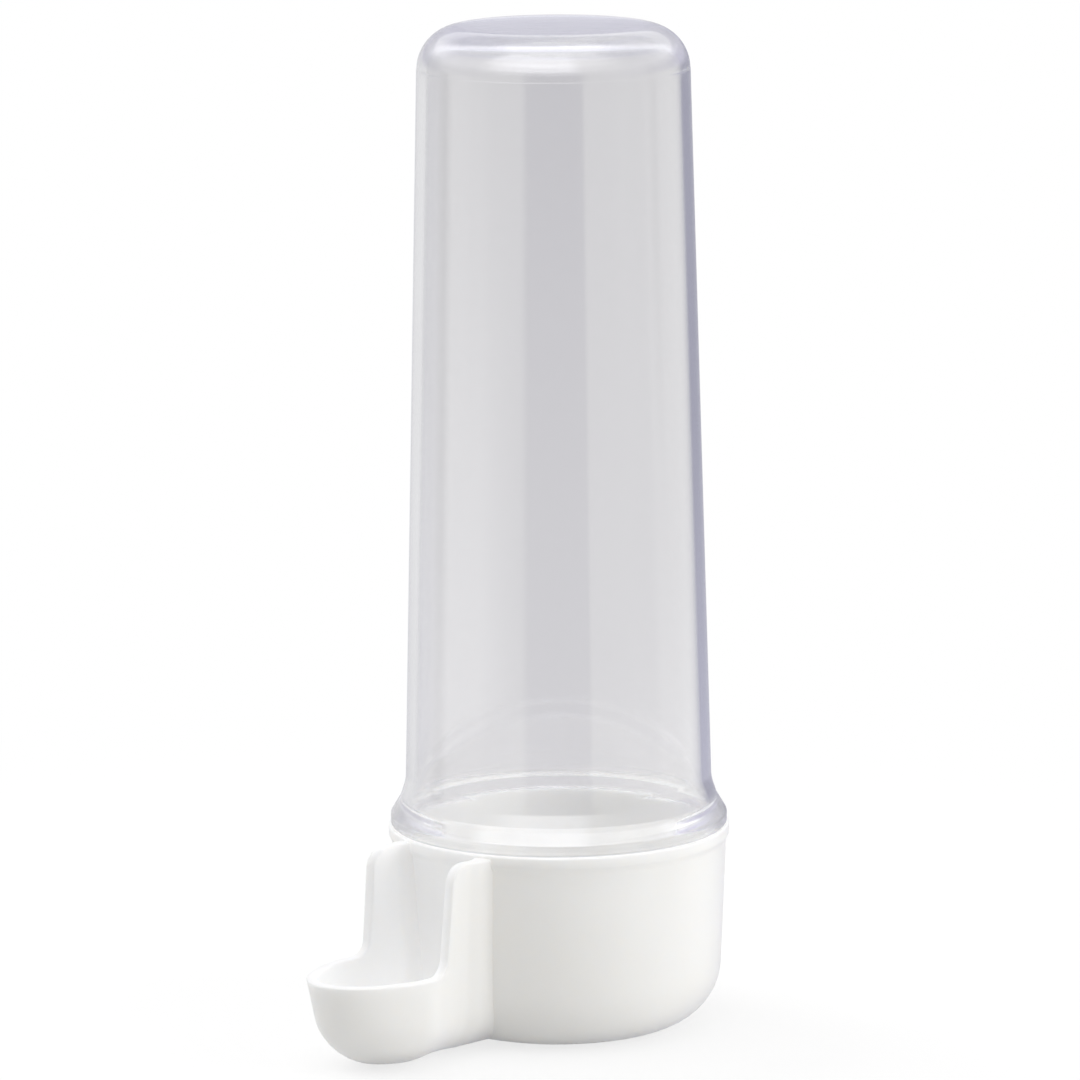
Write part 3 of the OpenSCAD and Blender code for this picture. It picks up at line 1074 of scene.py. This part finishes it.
@dataclass(frozen=True)
class Studio:
    """The camera, the lamps, the floor and the surroundings that clear plastic shows.

    The camera was fitted to the photograph's outlines: its horizontal distance from the tube's axis, its
    height, its focal length in pixels, and the small turns that aim it. The ambient light falls to
    dim_share of itself towards dim_azimuth_deg, which is counted as a softbox's azimuth is. The floor shows
    the object's shadow in full up to the first distance in shadow_m, and not at all from the second one.
    """

    azimuth_deg: float = 45.0
    distance_mm: float = 1150.0
    height_mm: float = 291.87
    focal_px: float = 6937.3
    image_px: float = 1080.0
    sensor_mm: float = 36.0
    yaw_deg: float = -0.1415
    pitch_deg: float = 10.298
    roll_deg: float = -0.448
    aim_mm: float = 60.0
    bounces: int = 1000
    diffuse_bounces: int = 12
    ambient: float = 0.72
    dim_azimuth_deg: float = -38.0
    dim_share: float = 0.36
    floor_m: float = 3.0
    floor_albedo: float = 0.72
    floor_glow: float = 0.74
    floor_catch: float = 0.25
    shadow_m: tuple[float, float] = (0.09, 0.26)
    lamps: tuple[Softbox, ...] = (
        Softbox("key_softbox", 72.0, 15.0, 1.3, 0.8, 1.0, 2.5),
        Softbox("fill_softbox", -120.0, 35.0, 1.2, 0.9, 0.9, 2.1),
        Softbox("top_softbox", -45.0, 72.0, 1.1, 0.9, 0.9, 1.3),
    )
    backdrop: str = "#E8E7EA"
    rings: tuple[Ring, ...] = (TABLE, PANELS, CURTAIN, WINDOW, SKY, CEILING)

    def bearing(self, azimuth_deg: float) -> Array:
        """Give the level direction at an azimuth: 0 is to the camera, 90 to its right, 180 away from it."""
        a = math.radians(self.azimuth_deg + azimuth_deg)
        return np.array([math.sin(a), -math.cos(a), 0.0])

    def add_camera(self) -> None:
        """Add the photograph's camera and make it the scene's."""
        pitch, roll = math.radians(self.pitch_deg), math.radians(self.roll_deg)
        forward = self.bearing(180 - self.yaw_deg) * math.cos(pitch) - UP * math.sin(pitch)
        beside = self.bearing(90 - self.yaw_deg)
        above = np.cross(beside, forward)
        own_x = beside * math.cos(roll) + above * math.sin(roll)
        own_y = above * math.cos(roll) - beside * math.sin(roll)
        place = (UP * self.height_mm + self.bearing(0) * self.distance_mm) * MM
        data = bpy.data.cameras.new("photo_camera")
        data.sensor_width = self.sensor_mm
        data.lens = self.focal_px / self.image_px * self.sensor_mm
        bpy.context.scene.camera = stand("photo_camera", data, [own_x, own_y, -forward, place])

    def add_lamps(self) -> None:
        """Add the softboxes, each aimed at one height of the axis. Reflections show the rings instead.

        A lamp's power is pi times its area times its radiance.
        """
        aim = UP * self.aim_mm * MM
        for box in self.lamps:
            rise = math.radians(box.elevation_deg)
            back = self.bearing(box.azimuth_deg) * math.cos(rise) + UP * math.sin(rise)
            side = self.bearing(box.azimuth_deg + 90)
            data = bpy.data.lights.new(box.name, "AREA")
            data.shape = "RECTANGLE"
            data.size = box.width_m
            data.size_y = box.height_m
            data.energy = math.pi * box.width_m * box.height_m * box.radiance
            lamp = stand(box.name, data, [side, np.cross(back, side), back, aim + back * box.distance_m])
            lamp.visible_glossy = False
            lamp.visible_transmission = False

    def add_floor(self) -> None:
        """Add a pale floor that keeps the object's shadow and is plain white further out."""
        half = self.floor_m / 2
        mesh = bpy.data.meshes.new("floor")
        corners = [(-half, -half, 0), (half, -half, 0), (half, half, 0), (-half, half, 0)]
        mesh.from_pydata(corners, [], [(0, 1, 2, 3)])
        floor = bpy.data.objects.new("floor", mesh)
        bpy.context.scene.collection.objects.link(floor)
        material = empty_material("white_card_floor")
        tree = material.node_tree
        place = add_node(tree, "TexCoord").outputs["Object"]
        far = add_node(tree, "VectorMath", links={0: place}, operation="LENGTH")
        fade = add_node(
            tree, "MapRange", span("From", self.shadow_m), {"Value": far.outputs["Value"]},
            interpolation_type="SMOOTHSTEP")
        glow = add_node(tree, "Emission", {"Strength": self.floor_glow})
        catch = add_node(tree, "BsdfDiffuse", {"Color": (*[self.floor_catch] * 3, 1.0)})
        near = add_node(tree, "AddShader", links={0: glow, 1: catch})
        white = add_node(tree, "Emission", {"Strength": 1.0})
        shown = add_node(tree, "MixShader", links={0: fade, 1: near, 2: white})
        card = add_node(tree, "BsdfDiffuse", {"Color": (*[self.floor_albedo] * 3, 1.0)})
        path = add_node(tree, "LightPath").outputs
        surface = add_node(tree, "MixShader", links={0: path["Is Camera Ray"], 1: card, 2: shown})
        add_node(tree, "OutputMaterial", links={"Surface": surface})
        mesh.materials.append(material)
        floor.visible_glossy = False
        floor.visible_transmission = False

    def add_rings(self, tree: bpy.types.NodeTree, ray: bpy.types.NodeSocket) -> bpy.types.Node:
        """Stack the rings into one shader, each over the one below it.

        A ray's azimuth is the arc tangent of its part to the camera's right over its part away from it.

        Args:
            tree: the world's node tree.
            ray: the ray's direction.

        Returns:
            The shader's last node.
        """
        right, away = (
            add_node(tree, "VectorMath", {1: self.bearing(v)}, {0: ray}, operation="DOT_PRODUCT")
            for v in (90, 180))
        azimuth = add_node(
            tree, "Math", links={0: right.outputs["Value"], 1: away.outputs["Value"]}, operation="ARCTAN2")
        turn = add_node(tree, "MapRange", span("From", (-math.pi, math.pi)), {"Value": azimuth})
        height = add_node(tree, "SeparateXYZ", links={0: ray}).outputs["Z"]
        stack = None
        for ring in self.rings:
            colours = add_node(tree, "ValToRGB", links={0: turn})
            ramp = colours.color_ramp
            for degrees, code in ring.stops[1:-1]:
                ramp.elements.new(degrees / 360 + 0.5).color = linear(code)
            for end in (0, -1):
                ramp.elements[end].color = linear(ring.stops[end][1])
            light = add_node(tree, "Background", {"Strength": ring.strength}, {"Color": colours})
            if stack is None:
                stack = light
                continue
            sines = [math.sin(math.radians(v)) for v in ring.elevations_deg]
            over = add_node(
                tree, "MapRange", span("From", sines), {"Value": height}, interpolation_type="SMOOTHSTEP")
            stack = add_node(tree, "MixShader", links={0: over, 1: stack, 2: light})
        return stack

    def add_ambient(self, tree: bpy.types.NodeTree, ray: bpy.types.NodeSocket) -> bpy.types.Node:
        """Add the room's soft light, which is weaker from the spout's side, where the room is dark.

        Args:
            tree: the world's node tree.
            ray: the ray's direction.

        Returns:
            The light's node.
        """
        toward = add_node(
            tree, "VectorMath", {1: self.bearing(self.dim_azimuth_deg)}, {0: ray},
            operation="DOT_PRODUCT")
        room = add_node(
            tree, "MapRange", span("To", (1.0, self.dim_share), self.ambient),
            {"Value": toward.outputs["Value"]}, interpolation_type="SMOOTHSTEP")
        return add_node(tree, "Background", {"Color": linear(WHITE)}, {"Strength": room})

    def add_surroundings(self) -> None:
        """Give the world a white backdrop, the room's light, and rings for reflections.

        The camera sees white. Rays that only go straight through clear plastic see the pale grey of the
        card behind, and rays that were reflected on their way see the rings. Others see the room's light.
        """
        world = bpy.data.worlds.new("studio")
        bpy.context.scene.world = world
        world.use_nodes = True
        tree = world.node_tree
        tree.nodes.clear()
        ray = add_node(tree, "TexCoord").outputs["Generated"]
        path = add_node(tree, "LightPath").outputs
        rings = self.add_rings(tree, ray)
        card = add_node(tree, "Background", {"Color": linear(self.backdrop), "Strength": 1.0})
        seen = add_node(tree, "MixShader", links={0: path["Glossy Depth"], 1: card, 2: rings})
        clear = add_node(
            tree, "Math", links={0: path["Is Glossy Ray"], 1: path["Is Transmission Ray"]},
            operation="ADD", use_clamp=True)
        room = self.add_ambient(tree, ray)
        lit = add_node(tree, "MixShader", links={0: clear, 1: room, 2: seen})
        white = add_node(tree, "Background", {"Color": linear(WHITE), "Strength": 1.0})
        surface = add_node(tree, "MixShader", links={0: path["Is Camera Ray"], 1: lit, 2: white})
        add_node(tree, "OutputWorld", links={"Surface": surface})

    def build(self) -> None:
        """Set the studio up, with colours shown as written and light followed through many bounces."""
        bpy.context.scene.view_settings.view_transform = "Standard"
        paths = bpy.context.scene.cycles
        paths.max_bounces = self.bounces
        paths.diffuse_bounces = self.diffuse_bounces
        paths.glossy_bounces = self.bounces
        paths.transmission_bounces = self.bounces
        self.add_camera()
        self.add_lamps()
        self.add_floor()
        self.add_surroundings()


def main() -> None:
    """Build the studio, the base and the tube, and report each."""
    logging.basicConfig(level=logging.INFO, format="%(name)s: %(message)s")
    Studio().build()
    base = SpoutBase()
    base.dress(base.build())
    tube = ReservoirTube(base.cup)
    tube.dress(tube.build())


if __name__ == "__main__":
    main()
